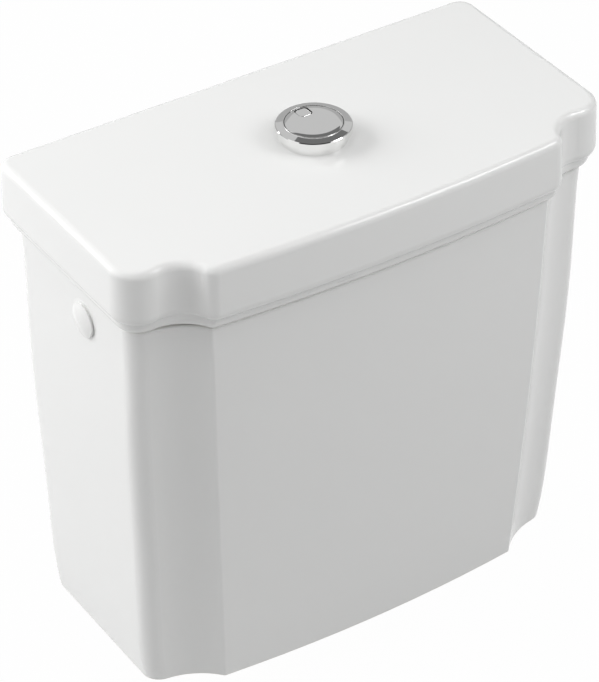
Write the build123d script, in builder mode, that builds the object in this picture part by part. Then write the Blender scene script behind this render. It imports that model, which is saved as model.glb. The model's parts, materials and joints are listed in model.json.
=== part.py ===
from build123d import *

import math
import os

# Close-coupled toilet cistern with a dual-flush valve, in millimetres.
# The origin is on the axis of the flush outlet, in the plane of the tank's underside.
# +X is the right-hand side seen from the front, -Y is the front and +Z is up.

# General values
overrun = 5.0
running_clearance = 0.05
body_clearance = 0.3
same_body_gap = 0.1
edge_break = 0.5

# Ceramic tank: sizes at the underside and at the rim, with a gentle belly between them
tank_height = 328.0
base_half_width = 176.0
rim_half_width = 188.7
tank_back = 93.0
base_panel_half_width = 127.2
rim_panel_half_width = 138.7
base_panel_front = -71.8
rim_panel_front = -87.8
ear_setback = 20.5
panel_bow = 6.5
tank_ear_radius = 14.0
tank_back_radius = 12.0
tank_corner_radius = 3.0
tank_ear_turn = 82
rim_edge_radius = 2.0
tank_wall = 11.5
tank_floor = 13.0
cavity_ear_radius = 8.0
cavity_back_radius = 9.0
cavity_corner_radius = 4.0
level_shares = (0, 0.09, 0.3, 0.55, 0.8, 1)
side_belly_shares = (0, 0.268, 0.496, 0.78, 0.905, 1)
front_belly_shares = (0, 0.13, 0.39, 0.66, 0.87, 1)
corner_inset_shares = (0.48, 0.96)

# Holes in the tank
outlet_hole_radius = 32.5
bolt_spacing = 150.0
bolt_hole_radius = 6.0
side_hole_drop = 26.0
side_hole_radius = 9.0
spot_face_radius = 16.0
spot_face_depth = 0.5

# Ceramic lid
seam_gap = 1.0
lid_height = 53.0
lid_half_width = 198.3
lid_draft = 1.0
lid_back = 100.5
lid_panel_half_width = 145.0
lid_panel_front = -98.0
lid_ear_radius = 21.0
lid_ear_turn = 102
lid_back_radius = 12.5
lid_corner_radius = 10.0
lid_top_radius = 5.3
lid_top_thickness = 10.0
lid_seat_width = 8.0
moulding_height = 8.0
moulding_share = 0.55
skirt_ovolo_radius = 9.0
moulding_ovolo_radius = 7.5
button_hole_radius = 21.5
lug_length = 30.0
lug_thickness = 6.0
lug_drop = 8.0
lug_gap = 3.0
lug_place_share = 0.75
buffer_length = 16.0
buffer_width = 4.0

# Button housing, above and below the lid
housing_flange_radius = 27.0
housing_collar_radius = 23.7
housing_collar_height = 6.7
housing_flange_height = 5.3
housing_cone_rise = 1.1
housing_bore_radius = 20.9
housing_step_height = 1.5
sleeve_radius = 20.5
sleeve_bore_radius = 19.0
sleeve_depth = 27.0
guide_plate_depth = 9.0
guide_plate_thickness = 3.0
guide_boss_length = 9.0
guide_boss_wall = 1.6
housing_gasket_thickness = 0.8
housing_lip_wall = 0.8
housing_nut_height = 8.0
housing_nut_radius = 25.0
housing_nut_lobe_radius = 3.0
housing_nut_lobes = 10

# Push buttons, their rods and springs
press_travel = 6.0
button_rise = 2.0
button_gap = 0.4
button_plate = 2.0
button_skirt_wall = 1.3
button_edge_radius = 1.5
full_stem_radius = 4.0
full_stem_place = -5.0
half_button_side = 9.4
half_button_corner = 2.6
half_button_gap = 0.25
half_button_height = 4.5
half_button_drop = 0.3
half_stem_radius = 3.0
half_button_place = 13.3
stem_length = 27.0
rod_socket_depth = 12.0
full_rod_radius = 2.5
half_rod_radius = 2.0
spring_wall = 0.8
spring_gap = 0.5

# Flush valve: body, washer, backnut and gasket
tail_radius = 29.5
outlet_bore_radius = 25.0
tail_depth = 36.0
valve_washer_thickness = 3.0
valve_flange_radius = 40.0
valve_flange_thickness = 4.0
seat_inner_radius = 27.0
seat_outer_radius = 31.0
seat_height = 3.3
basket_inner_radius = 36.2
basket_leg_height = 64.0
basket_leg_width = 12.0
basket_legs = 6
basket_ring_height = 6.0
backnut_height = 12.0
backnut_core_radius = 36.5
backnut_lobe_radius = 4.0
backnut_lobes = 8
gasket_radius = 50.0
gasket_nut_gap = 0.6
gasket_top_gap = 0.5
gasket_below_nut = 17.0
gasket_edge_radius = 5.0

# Flush valve: tower
tower_radius = 33.0
tower_bore_radius = 31.0
tower_skirt_gap = 0.3
tower_base_height = 3.0
deck_below_rim = 48.0
tower_deck_thickness = 5.0
tower_window_width = 24.0
tower_window_margin = 16.0
pivot_height_above_deck = 13.0
pivot_place = -12.0
ear_thickness = 3.0
ear_width = 10.0
ear_top = 5.0
lever_pin_radius = 2.0
lever_pin_head = 3.0

# Flush valve: overflow tube with its seal, guides, float and lifting stirrup
tube_radius = 15.0
tube_bore_radius = 13.5
tube_top_below_deck = 8.0
seal_thickness = 2.4
seal_radius = 33.0
seal_inner_radius = 25.5
seal_plate_thickness = 3.0
guide_disc_thickness = 2.0
lower_guide_above_base = 10.0
upper_guide_below_deck = 24.0
guide_hole_radius = 4.5
guide_holes = 6
float_ring_inner_gap = 0.4
float_ring_radius = 29.0
float_ring_height = 45.0
float_ring_place = 42.0
stirrup_wall = 2.0
stirrup_bar_height = 3.0
stirrup_bar_width = 4.0
stirrup_play = 1.0

# Levers
lever_arm = 12.0
lever_tail = 16.0
lever_toe = 5.0
lever_width = 7.0
lever_thickness = 4.0
lever_hub_radius = 4.0
lever_side_gap = 0.5

# Half-flush slide on the tower's left side
slide_thickness = 2.0
slide_height = 108.0
slide_wall_gap = 1.0
slide_loop_height = 8.0
slide_loop_wall = 2.0
slide_loop_shares = (0.1, 0.62)
slide_clearance = 0.2

# Bolts to the pan
bolt_radius = 4.0
bolt_shank_radius = 4.4
bolt_length = 80.0
bolt_head_radius = 10.0
bolt_head_height = 5.0
bolt_slot_width = 2.0
bolt_slot_depth = 2.0
cone_washer_radius = 14.0
cone_washer_thickness = 6.0
cone_depth = 4.0
plate_washer_radius = 12.0
plate_washer_thickness = 1.6
locknut_flats = 13.0
locknut_height = 6.5
bolt_gap = 0.1

# Fill valve at the right-hand side hole
shank_radius = 8.3
shank_bore_radius = 5.2
shank_reach = 36.0
shank_gasket_thickness = 2.5
shank_washer_thickness = 2.0
shank_washer_radius = 14.0
shank_nut_flats = 24.0
shank_nut_height = 8.0
shank_groove_depth = 0.6
shank_groove_width = 1.5
valve_flange_disc_radius = 14.5
valve_flange_disc_thickness = 3.0
barrel_radius = 9.0
barrel_length = 22.0
head_radius = 13.0
head_length = 14.0
chamber_radius = 11.2
chamber_depth = 4.0
nozzle_radius = 4.0
nozzle_bore_radius = 2.2
nozzle_height = 2.0
cap_radius = 16.0
cap_length = 10.0
cap_ribs = 12
cap_rib_radius = 1.2
cap_front = 4.0
cap_cavity_radius = 8.0
cap_ear_reach = 12.0
cap_ear_thickness = 3.0
cap_ear_spread = 7.0
diaphragm_radius = 11.0
diaphragm_thickness = 1.5
plunger_radius = 2.0
plunger_length = 10.5
plunger_reach = 4.0
spigot_radius = 6.5
spigot_bore_radius = 4.8
spigot_length = 12.0
fill_tube_radius = 8.2
fill_tube_floor_gap = 23.0
fill_tube_overlap = 7.0
spigot_bore_drop = 1.2
spigot_edge_gap = 0.5
filter_radius = 5.0
filter_wall = 0.8
filter_length = 16.0
filter_flange_radius = 7.0
filter_flange_thickness = 1.2

# Float arm, level screw and float
arm_pivot_drop = 10.0
arm_pivot_reach = 8.0
arm_rest_angle = 12
arm_length = 48.0
arm_width = 9.0
arm_thickness = 5.0
arm_hub_radius = 4.5
arm_hub_width = 12.0
arm_eye_radius = 6.0
arm_pin_radius = 2.0
nose_width = 6.0
nose_thickness = 5.5
nose_above_axis = 1.0
nose_gap = 0.3
screw_radius = 2.5
screw_above_arm = 10.0
screw_length = 42.0
screw_head_radius = 4.0
screw_head_height = 4.0
float_length = 40.0
float_width = 56.0
float_height = 46.0
float_drop = 45.0
float_edge_radius = 8.0
float_socket_depth = 12.0

# Plug of the left-hand side hole
plug_radius = 13.0
plug_rim = 1.6
plug_dome = 2.0
plug_stem_radius = 8.0
plug_stem_length = 22.0
plug_washer_thickness = 2.0
plug_washer_radius = 13.5
plug_nut_flats = 24.0
plug_nut_height = 7.0


# Plan outline shared by the tank, its cavity and the lid
def plan_section(height, half_width, back, panel_half_width, panel_front, radii, ear_turn):
    """A flat back, rounded ears, hollow flutes and a bowed front panel."""
    ear_radius, back_radius, corner_radius = radii
    ear_front = panel_front + ear_setback
    back_centre = (half_width - back_radius, back - back_radius)
    ear_centre = (half_width - ear_radius, ear_front + ear_radius)
    with BuildSketch(Plane.XY.offset(height)) as plan:
        with BuildLine():
            CenterArc(back_centre, back_radius, 0, 90)
            Line((half_width, back_centre[1]), (half_width, ear_centre[1]))
            ear = CenterArc(ear_centre, ear_radius, 0, -ear_turn)
            TangentArc(ear @ 1, (panel_half_width, panel_front), tangent=ear % 1)
            mirror(about=Plane.YZ)
            ThreePointArc(
                (panel_half_width, panel_front),
                (0, panel_front - panel_bow),
                (-panel_half_width, panel_front),
            )
            Line((back_centre[0], back), (-back_centre[0], back))
        make_face()
        fillet(plan.vertices().group_by(Axis.Y)[0], corner_radius)
    return plan.sketch


def blend(start, end, share):
    """The value a share of the way from start to end."""
    return start + (end - start) * share


def belly(shares, height):
    """How far the tank has widened at a height, as a share of the whole."""
    level = height / tank_height
    for index in range(1, len(level_shares)):
        low, high = level_shares[index - 1], level_shares[index]
        if level <= high:
            return blend(shares[index - 1], shares[index], (level - low) / (high - low))
    return 1


def tank_half_width(height):
    """Half the tank's outside width at a height."""
    return blend(base_half_width, rim_half_width, belly(side_belly_shares, height))


def tank_section(height, inset, radii):
    """The tank's plan at a height, drawn in by an even wall."""
    panel_half_width = blend(base_panel_half_width, rim_panel_half_width, belly(front_belly_shares, height))
    panel_front = blend(base_panel_front, rim_panel_front, belly(front_belly_shares, height))
    return plan_section(
        height,
        tank_half_width(height) - inset,
        tank_back - inset,
        panel_half_width - inset * corner_inset_shares[0],
        panel_front + inset * corner_inset_shares[1],
        radii,
        tank_ear_turn,
    )


def lid_section(height, share, inset=0):
    """The lid's plan: share 0 is flush with the tank's rim and share 1 is the full skirt."""
    radii = (
        blend(tank_ear_radius, lid_ear_radius, share),
        blend(tank_back_radius, lid_back_radius, share),
        blend(tank_corner_radius, lid_corner_radius, share),
    )
    return plan_section(
        height,
        blend(rim_half_width, lid_half_width, share) - inset,
        blend(tank_back, lid_back, share) - inset,
        blend(rim_panel_half_width, lid_panel_half_width, share) - inset * corner_inset_shares[0],
        blend(rim_panel_front, lid_panel_front, share) + inset * corner_inset_shares[1],
        radii,
        blend(tank_ear_turn, lid_ear_turn, share),
    )


# Small forms that repeat
def ring(plane, radius, start, end, bore=0, mode=Mode.ADD):
    """A round disc or ring along a plane's normal, from start to end."""
    with BuildSketch(plane.offset(start)) as face:
        Circle(radius)
        if bore:
            Circle(bore, mode=Mode.SUBTRACT)
    extrude(face.sketch, amount=end - start, mode=mode)


def hex_nut(plane, flats, bore, start, end):
    """A hexagon nut along a plane's normal, from start to end."""
    with BuildSketch(plane.offset(start)) as face:
        RegularPolygon(flats / 2, 6, major_radius=False)
        Circle(bore, mode=Mode.SUBTRACT)
    extrude(face.sketch, amount=end - start)


def lobed_nut(plane, core_radius, lobe_radius, lobes, bore, start, end):
    """A round hand nut with grip lobes on its rim, from start to end."""
    with BuildSketch(plane.offset(start)) as face:
        Circle(core_radius)
        with PolarLocations(core_radius, lobes):
            Circle(lobe_radius)
        Circle(bore, mode=Mode.SUBTRACT)
    extrude(face.sketch, amount=end - start)


def save(name, builder):
    """Label a finished piece and write it as its own file."""
    builder.part.label = name
    export_step(builder.part, f"parts/{name}.step")


os.makedirs("parts", exist_ok=True)
tank_levels = [share * tank_height for share in level_shares]
cavity_levels = [tank_floor] + tank_levels[1:]
tank_radii = (tank_ear_radius, tank_back_radius, tank_corner_radius)
cavity_radii = (cavity_ear_radius, cavity_back_radius, cavity_corner_radius)
bolt_places = [(-bolt_spacing / 2, 0), (bolt_spacing / 2, 0)]
side_hole_height = tank_height - side_hole_drop
side_face = tank_half_width(side_hole_height) - spot_face_depth
side_inner_face = side_face - tank_wall + 2 * spot_face_depth
side_plane = Plane(origin=(0, 0, side_hole_height), x_dir=(0, 1, 0), z_dir=(1, 0, 0))


# Tank: a loft through plans at several levels, hollowed by a second loft
with BuildPart() as tank:
    loft([tank_section(height, 0, tank_radii) for height in tank_levels])
    fillet(tank.faces().sort_by(Axis.Z)[-1].edges(), rim_edge_radius)
    loft([tank_section(height, tank_wall, cavity_radii) for height in cavity_levels], mode=Mode.SUBTRACT)
    with BuildSketch():
        Circle(outlet_hole_radius)
        with Locations(*bolt_places):
            Circle(bolt_hole_radius)
    extrude(amount=tank_floor, mode=Mode.SUBTRACT)
    with BuildSketch(side_plane):
        Circle(side_hole_radius)
    extrude(amount=rim_half_width, both=True, mode=Mode.SUBTRACT)
    for side in (-1, 1):
        for face, outward in ((side_face, 1), (side_inner_face, -1)):
            cut_end = face + outward * overrun
            ring(side_plane, spot_face_radius, side * face, side * cut_end, mode=Mode.SUBTRACT)
save("tank", tank)

# Lid: a skirt that widens downwards to two ovolo steps, hollow underneath, with four lugs that locate it
seam_height = tank_height + seam_gap
lid_top = seam_height + lid_height
lid_ceiling = lid_top - lid_top_thickness
skirt_bottom = seam_height + moulding_height
lug_place = lid_panel_half_width * lug_place_share
lug_bow = panel_bow * (1 - (lug_place / rim_panel_half_width) ** 2)
back_mouth = tank_back - tank_wall - lug_gap
front_mouth = rim_panel_front - lug_bow + tank_wall * corner_inset_shares[1] + lug_gap
with BuildPart() as lid:
    loft([lid_section(skirt_bottom, 1), lid_section(lid_top, 1, lid_draft)])
    fillet(lid.faces().sort_by(Axis.Z)[-1].edges(), lid_top_radius)
    fillet(lid.faces().sort_by(Axis.Z)[0].edges(), skirt_ovolo_radius)
    extrude(lid_section(seam_height, moulding_share), amount=moulding_height + skirt_ovolo_radius)
    fillet(lid.faces().sort_by(Axis.Z)[0].edges(), moulding_ovolo_radius)
    hollow = lid_section(seam_height, 0, lid_seat_width)
    extrude(hollow, amount=lid_ceiling - seam_height, mode=Mode.SUBTRACT)
    for side in (-1, 1):
        for mouth, inward, reach in (
            (back_mouth, -1, tank_wall + lug_gap - lid_seat_width),
            (front_mouth, 1, tank_wall + lug_gap - lid_seat_width),
        ):
            with BuildSketch(Plane.XY.offset(seam_height - lug_drop)):
                with Locations((side * lug_place, mouth + inward * lug_thickness / 2)):
                    Rectangle(lug_length, lug_thickness)
            extrude(amount=lid_ceiling - seam_height + lug_drop)
            with BuildSketch(Plane.XY.offset(seam_height + seam_gap)):
                with Locations((side * lug_place, mouth - inward * (reach + lid_seat_width / 2) / 2)):
                    Rectangle(lug_length, reach + lid_seat_width / 2)
            extrude(amount=lid_ceiling - seam_height - seam_gap)
    ring(Plane.XY, button_hole_radius, lid_ceiling, lid_top, mode=Mode.SUBTRACT)
save("lid", lid)

# Four thin rubber buffers between the rim and the lid
buffer_back = tank_back - lid_seat_width / 2
buffer_front = rim_panel_front - lug_bow + lid_seat_width / 2
with BuildPart() as lid_buffers:
    with BuildSketch(Plane.XY.offset(tank_height)):
        for place in (buffer_back, buffer_front):
            with Locations((-lug_place, place), (lug_place, place)):
                RectangleRounded(buffer_length, buffer_width, buffer_width / 3)
    extrude(amount=seam_gap)
save("lid_buffers", lid_buffers)

# Plug of the unused side hole, pulled tight by a nut inside the tank
left_plane = Plane(origin=(0, 0, side_hole_height), x_dir=(0, -1, 0), z_dir=(-1, 0, 0))
plug_seat = side_face + same_body_gap
plug_top = plug_seat + plug_rim + plug_dome
dome_radius = (plug_radius**2 + plug_dome**2) / (2 * plug_dome)
with BuildPart() as side_hole_plug:
    ring(left_plane, plug_radius, plug_seat, plug_top)
    with Locations((dome_radius - plug_top, 0, side_hole_height)):
        Sphere(dome_radius, rotation=(0, 90, 0), mode=Mode.INTERSECT)
    ring(left_plane, plug_stem_radius, plug_seat - plug_stem_length, plug_seat)
save("side_hole_plug", side_hole_plug)

with BuildPart() as side_plug_washer:
    ring(
        left_plane,
        plug_washer_radius,
        side_inner_face - plug_washer_thickness,
        side_inner_face,
        bore=plug_stem_radius + same_body_gap,
    )
save("side_plug_washer", side_plug_washer)

with BuildPart() as side_plug_nut:
    plug_nut_face = side_inner_face - plug_washer_thickness
    hex_nut(
        left_plane,
        plug_nut_flats,
        plug_stem_radius + running_clearance,
        plug_nut_face - plug_nut_height,
        plug_nut_face,
    )
save("side_plug_nut", side_plug_nut)

# Button housing: flange and collar above the lid, threaded sleeve and guide plate below it
collar_bottom = lid_top + housing_gasket_thickness
gasket_recess_radius = housing_collar_radius - housing_lip_wall
flange_bottom = lid_top + housing_collar_height
flange_top = flange_bottom + housing_flange_height
cone_top = flange_top + housing_cone_rise
guide_plate_top = lid_top - guide_plate_depth
guide_plate_bottom = guide_plate_top - guide_plate_thickness
stem_places = (
    (full_stem_place, full_stem_radius),
    (half_button_place, half_stem_radius),
)
with BuildPart() as button_housing:
    with BuildSketch(Plane.XZ):
        Polygon(
            (housing_bore_radius, cone_top),
            (housing_flange_radius - edge_break, flange_top),
            (housing_flange_radius, flange_top - edge_break),
            (housing_flange_radius, flange_bottom),
            (housing_collar_radius, flange_bottom),
            (housing_collar_radius, lid_top),
            (gasket_recess_radius, lid_top),
            (gasket_recess_radius, collar_bottom),
            (sleeve_radius, collar_bottom),
            (sleeve_radius, lid_top - sleeve_depth),
            (sleeve_bore_radius, lid_top - sleeve_depth),
            (sleeve_bore_radius, lid_top + housing_step_height),
            (housing_bore_radius, lid_top + housing_step_height),
            align=None,
        )
    revolve(axis=Axis.Z)
    ring(Plane.XY, sleeve_bore_radius + running_clearance, guide_plate_bottom, guide_plate_top)
    for place, radius in stem_places:
        with BuildSketch(Plane.XY.offset(guide_plate_bottom)):
            with Locations((0, place)):
                Circle(radius + guide_boss_wall)
        extrude(amount=-guide_boss_length)
    for place, radius in stem_places:
        with BuildSketch(Plane.XY.offset(guide_plate_top)):
            with Locations((0, place)):
                Circle(radius + running_clearance)
        extrude(amount=-guide_plate_thickness - guide_boss_length, mode=Mode.SUBTRACT)
save("button_housing", button_housing)

with BuildPart() as housing_gasket:
    ring(
        Plane.XY,
        gasket_recess_radius - same_body_gap,
        lid_top,
        collar_bottom,
        bore=sleeve_radius + same_body_gap,
    )
save("housing_gasket", housing_gasket)

with BuildPart() as housing_nut:
    lobed_nut(
        Plane.XY,
        housing_nut_radius,
        housing_nut_lobe_radius,
        housing_nut_lobes,
        sleeve_radius + running_clearance,
        lid_ceiling - housing_nut_height,
        lid_ceiling,
    )
save("housing_nut", housing_nut)

# Full-flush button: a round-edged disc with a skirt and a stem, cut out for the small button
disc_radius = housing_bore_radius - button_gap
disc_top = flange_top + button_rise
disc_underside = disc_top - button_plate
half_opening = half_button_side + 2 * half_button_gap
skirt_low = lid_top + housing_step_height + press_travel + body_clearance
with BuildPart() as full_flush_button:
    ring(Plane.XY, disc_radius, disc_underside, disc_top)
    fillet(full_flush_button.faces().sort_by(Axis.Z)[-1].edges(), button_edge_radius)
    ring(Plane.XY, disc_radius, skirt_low, disc_underside, bore=disc_radius - button_skirt_wall)
    with BuildSketch(Plane.XY.offset(disc_underside)):
        with Locations((0, full_stem_place)):
            Circle(full_stem_radius)
    extrude(amount=-stem_length)
    with BuildSketch(Plane.XY.offset(disc_underside - stem_length)):
        with Locations((0, full_stem_place)):
            Circle(full_rod_radius + running_clearance)
    extrude(amount=rod_socket_depth, mode=Mode.SUBTRACT)
    with BuildSketch(Plane.XY.offset(disc_top)):
        with Locations((0, half_button_place)):
            RectangleRounded(half_opening, half_opening, half_button_corner + half_button_gap)
    extrude(amount=-button_plate, mode=Mode.SUBTRACT)
save("full_flush_button", full_flush_button)

# Half-flush button: a small rounded square on its own stem
half_top = disc_top - half_button_drop
half_underside = half_top - half_button_height
with BuildPart() as half_flush_button:
    with BuildSketch(Plane.XY.offset(half_underside)):
        with Locations((0, half_button_place)):
            RectangleRounded(half_button_side, half_button_side, half_button_corner)
    extrude(amount=half_button_height)
    fillet(half_flush_button.faces().sort_by(Axis.Z)[-1].edges(), edge_break)
    with BuildSketch(Plane.XY.offset(half_underside)):
        with Locations((0, half_button_place)):
            Circle(half_stem_radius)
    extrude(amount=disc_underside - stem_length - half_underside)
    with BuildSketch(Plane.XY.offset(disc_underside - stem_length)):
        with Locations((0, half_button_place)):
            Circle(half_rod_radius + running_clearance)
    extrude(amount=rod_socket_depth, mode=Mode.SUBTRACT)
save("half_flush_button", half_flush_button)

# Flush valve heights
washer_top = tank_floor + valve_washer_thickness
valve_flange_top = washer_top + valve_flange_thickness
seat_top = valve_flange_top + seat_height
basket_ring_bottom = valve_flange_top + basket_leg_height
basket_top = basket_ring_bottom + basket_ring_height
deck_top = tank_height - deck_below_rim
deck_bottom = deck_top - tower_deck_thickness
tower_height = deck_bottom - basket_top
pivot_height = deck_top + pivot_height_above_deck
lever_top = pivot_height + lever_thickness / 2

# Push rods with round tips that rest just above the levers
rod_top = disc_underside - stem_length + rod_socket_depth
rods = (
    ("full_flush_rod", full_stem_place, full_rod_radius),
    ("half_flush_rod", half_button_place, half_rod_radius),
)
for name, place, radius in rods:
    with BuildPart() as rod:
        with BuildSketch(Plane.XY.offset(rod_top)):
            with Locations((0, place)):
                Circle(radius)
        extrude(amount=lever_top + body_clearance + radius - rod_top)
        with Locations((0, place, lever_top + body_clearance + radius)):
            Sphere(radius)
    save(name, rod)

# Return springs round the stems, as plain sleeves of the coil's outer and inner size
springs = (
    ("full_button_spring", full_stem_place, full_stem_radius, disc_underside),
    ("half_button_spring", half_button_place, half_stem_radius, half_underside),
)
for name, place, radius, top in springs:
    with BuildPart() as spring:
        with BuildSketch(Plane.XY.offset(guide_plate_top)):
            with Locations((0, place)):
                Circle(radius + spring_gap + spring_wall)
                Circle(radius + spring_gap, mode=Mode.SUBTRACT)
        extrude(amount=top - guide_plate_top)
    save(name, spring)

# Flush valve body: threaded tail, flange, raised seat and a basket of six legs
with BuildPart() as flush_valve_body:
    with BuildSketch(Plane.XZ):
        Polygon(
            (outlet_bore_radius, -tail_depth),
            (tail_radius - edge_break, -tail_depth),
            (tail_radius, edge_break - tail_depth),
            (tail_radius, washer_top),
            (valve_flange_radius, washer_top),
            (valve_flange_radius, valve_flange_top),
            (seat_outer_radius, valve_flange_top),
            (seat_outer_radius - edge_break, seat_top),
            (seat_inner_radius, seat_top),
            (outlet_bore_radius, valve_flange_top),
            align=None,
        )
    revolve(axis=Axis.Z)
    ring(Plane.XY, valve_flange_radius, basket_ring_bottom, basket_top, bore=basket_inner_radius)
    with BuildSketch(Plane.XY.offset(valve_flange_top)):
        with PolarLocations(valve_flange_radius, basket_legs):
            Rectangle(valve_flange_radius, basket_leg_width)
        Circle(basket_inner_radius, mode=Mode.SUBTRACT)
        Circle(valve_flange_radius, mode=Mode.INTERSECT)
    extrude(amount=basket_leg_height)
save("flush_valve_body", flush_valve_body)

with BuildPart() as valve_base_washer:
    ring(Plane.XY, valve_flange_radius, tank_floor, washer_top, bore=tail_radius + same_body_gap)
save("valve_base_washer", valve_base_washer)

with BuildPart() as flush_valve_backnut:
    lobed_nut(
        Plane.XY,
        backnut_core_radius,
        backnut_lobe_radius,
        backnut_lobes,
        tail_radius + running_clearance,
        -backnut_height,
        0,
    )
save("flush_valve_backnut", flush_valve_backnut)

# Sponge gasket that wraps round the backnut and seals against the pan
gasket_nut_bore = backnut_core_radius + backnut_lobe_radius + gasket_nut_gap
gasket_step = -backnut_height - same_body_gap
gasket_bottom = -backnut_height - gasket_below_nut
with BuildPart() as coupling_gasket:
    with BuildSketch(Plane.XZ) as gasket_profile:
        Polygon(
            (gasket_nut_bore, -gasket_top_gap),
            (gasket_radius, -gasket_top_gap),
            (gasket_radius, gasket_bottom),
            (tail_radius + gasket_nut_gap, gasket_bottom),
            (tail_radius + gasket_nut_gap, gasket_step),
            (gasket_nut_bore, gasket_step),
            align=None,
        )
        fillet(gasket_profile.vertices().group_by(Axis.X)[-1], gasket_edge_radius)
    revolve(axis=Axis.Z)
save("coupling_gasket", coupling_gasket)

# Tower: an open cylinder on the basket, with a deck and three ears for the levers
full_lever_side = full_stem_place - lever_width / 2
half_lever_side = half_button_place + lever_width / 2
ear_places = (
    full_lever_side - lever_side_gap - ear_thickness / 2,
    (full_stem_place + half_button_place) / 2,
    half_lever_side + lever_side_gap + ear_thickness / 2,
)
stirrup_inner = pivot_place - lever_tail
stirrup_outer = stirrup_inner + stirrup_bar_width
stirrup_half_width = lever_width / 2 + lever_side_gap + stirrup_wall
slide_inner_x = -tower_radius - slide_wall_gap
slide_bottom = lever_top + body_clearance + stirrup_bar_height - slide_height
with BuildPart() as valve_tower:
    tower_base_top = basket_top + tower_base_height
    skirt_radius = basket_inner_radius - tower_skirt_gap
    ring(Plane.XY, skirt_radius, basket_ring_bottom, basket_top, bore=tower_bore_radius)
    ring(Plane.XY, valve_flange_radius, basket_top, tower_base_top, bore=tower_bore_radius)
    ring(Plane.XY, tower_radius, basket_top, deck_top, bore=tower_bore_radius)
    ring(Plane.XY, tower_radius, deck_bottom, deck_top)
    with BuildSketch(Plane.XZ.offset(-tower_radius - overrun)):
        with Locations((0, (basket_top + deck_bottom) / 2)):
            SlotOverall(tower_height - 2 * tower_window_margin, tower_window_width, rotation=90)
    extrude(amount=2 * (tower_radius + overrun), mode=Mode.SUBTRACT)
    with BuildSketch(Plane.YZ):
        with Locations((0, (basket_top + deck_bottom) / 2)):
            SlotOverall(tower_height - 2 * tower_window_margin, tower_window_width, rotation=90)
    extrude(amount=tower_radius + overrun, mode=Mode.SUBTRACT)
    with BuildSketch(Plane.XY.offset(deck_top)):
        with Locations(((stirrup_inner + stirrup_outer) / 2, full_stem_place)):
            Rectangle(stirrup_bar_width + 2 * stirrup_play, 2 * (stirrup_half_width + stirrup_play))
    extrude(amount=-tower_deck_thickness, mode=Mode.SUBTRACT)
    for place in ear_places:
        with BuildSketch(Plane.XZ.offset(-place)):
            with Locations((pivot_place, (deck_top + pivot_height + ear_top) / 2)):
                RectangleRounded(ear_width, pivot_height + ear_top - deck_top, ear_width / 3)
            with Locations((pivot_place, deck_top + ear_width / 4)):
                Rectangle(ear_width, ear_width / 2)
            with Locations((pivot_place, pivot_height)):
                Circle(lever_pin_radius + running_clearance, mode=Mode.SUBTRACT)
        extrude(amount=ear_thickness / 2, both=True)
    for share in slide_loop_shares:
        loop_width = lever_width + 2 * (slide_clearance + slide_loop_wall)
        slot_depth = slide_thickness + 2 * slide_clearance
        loop_depth = slot_depth + slide_wall_gap + slide_loop_wall
        with BuildSketch(Plane.XY.offset(blend(slide_bottom, deck_top, share))):
            with Locations((-tower_radius + slide_loop_wall - loop_depth / 2, half_button_place)):
                Rectangle(loop_depth + 2 * slide_loop_wall, loop_width)
            Circle(tower_bore_radius, mode=Mode.SUBTRACT)
            with Locations((slide_inner_x - slide_thickness / 2, half_button_place)):
                Rectangle(slot_depth, lever_width + 2 * slide_clearance, mode=Mode.SUBTRACT)
        extrude(amount=slide_loop_height)
save("valve_tower", valve_tower)

# Overflow tube: seal plate, two guide discs and the stirrup that the full-flush lever lifts
seal_bottom = seat_top + body_clearance
seal_top = seal_bottom + seal_thickness
tube_top = deck_bottom - tube_top_below_deck
lower_guide = basket_top + tower_base_height + lower_guide_above_base
upper_guide = deck_bottom - upper_guide_below_deck
bar_bottom = lever_top + body_clearance
guide_disc_radius = tower_bore_radius - body_clearance
with BuildPart() as overflow_tube:
    ring(Plane.XY, seal_radius, seal_top, seal_top + seal_plate_thickness)
    for guide in (lower_guide, upper_guide):
        ring(Plane.XY, guide_disc_radius, guide, guide + guide_disc_thickness)
        with BuildSketch(Plane.XY.offset(guide)):
            hole_circle_radius = (tube_radius + guide_disc_radius) / 2
            with PolarLocations(hole_circle_radius, guide_holes, start_angle=180 / guide_holes):
                Circle(guide_hole_radius)
        extrude(amount=guide_disc_thickness, mode=Mode.SUBTRACT)
    ring(Plane.XY, tube_radius, seal_bottom, tube_top)
    ring(Plane.XY, tube_bore_radius, seal_bottom, tube_top, mode=Mode.SUBTRACT)
    with BuildSketch(Plane.YZ.offset(stirrup_inner)):
        stirrup_window_low = upper_guide + guide_disc_thickness
        stirrup_window_width = 2 * (stirrup_half_width - stirrup_wall)
        with Locations((full_stem_place, (upper_guide + bar_bottom + stirrup_bar_height) / 2)):
            Rectangle(2 * stirrup_half_width, bar_bottom + stirrup_bar_height - upper_guide)
        with Locations((full_stem_place, (stirrup_window_low + bar_bottom) / 2)):
            Rectangle(stirrup_window_width, bar_bottom - stirrup_window_low, mode=Mode.SUBTRACT)
    extrude(amount=stirrup_bar_width)
save("overflow_tube", overflow_tube)

with BuildPart() as flush_seal:
    ring(Plane.XY, seal_radius, seal_bottom, seal_top, bore=seal_inner_radius)
save("flush_seal", flush_seal)

with BuildPart() as flush_float:
    float_bottom = lower_guide + float_ring_place
    ring(
        Plane.XY,
        float_ring_radius,
        float_bottom,
        float_bottom + float_ring_height,
        bore=tube_radius + float_ring_inner_gap,
    )
    fillet(flush_float.faces().sort_by(Axis.Z)[-1].edges(), edge_break * 2)
save("flush_float", flush_float)

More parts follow.
